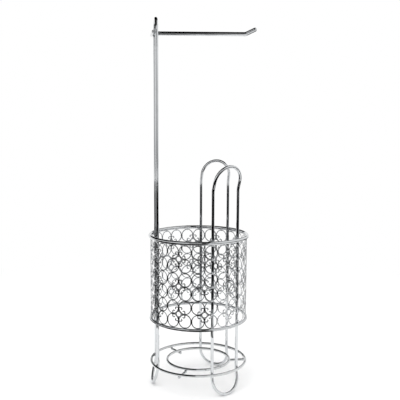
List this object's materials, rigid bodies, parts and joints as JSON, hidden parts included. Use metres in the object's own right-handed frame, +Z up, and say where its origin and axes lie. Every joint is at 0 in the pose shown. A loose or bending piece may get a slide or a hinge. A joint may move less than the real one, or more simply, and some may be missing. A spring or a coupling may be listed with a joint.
{
  "type": "freestanding toilet paper holder",
  "caption": "Freestanding chrome wire toilet paper holder: upright loops with bent feet, a round pierced lattice well for spare rolls and a roll arm with an upturned tip.",
  "frame": {"origin": "on the floor, under the middle of the holder's outer box; the well's axis is 4.83 mm towards -X from it", "axes": "+Z up along the pole; +X along the roll arm, from the pole to the upturned tip"},
  "size_m": [0.1616, 0.152, 0.5502],
  "materials": {
    "frame_wire": "bright chrome plate on drawn steel wire",
    "rim_wire": "bright chrome plate on rolled steel wire",
    "base_wire": "bright chrome plate on rolled steel wire",
    "arm_wire": "bright chrome plate on drawn steel rod",
    "lattice": "bright chrome plate on a pierced and pressed band"
  },
  "bodies": {
    "root": {"pole_loop": "frame_wire", "short_loop_front": "frame_wire", "short_loop_back": "frame_wire", "upper_rim": "rim_wire", "lower_rim": "rim_wire", "base_ring": "base_wire", "inner_ring": "base_wire", "base_spoke_right": "base_wire", "base_spoke_back": "base_wire", "base_spoke_front": "base_wire", "arm_crossbar": "arm_wire", "roll_arm": "arm_wire", "lattice_band": "lattice"}
  },
  "joints": []
}
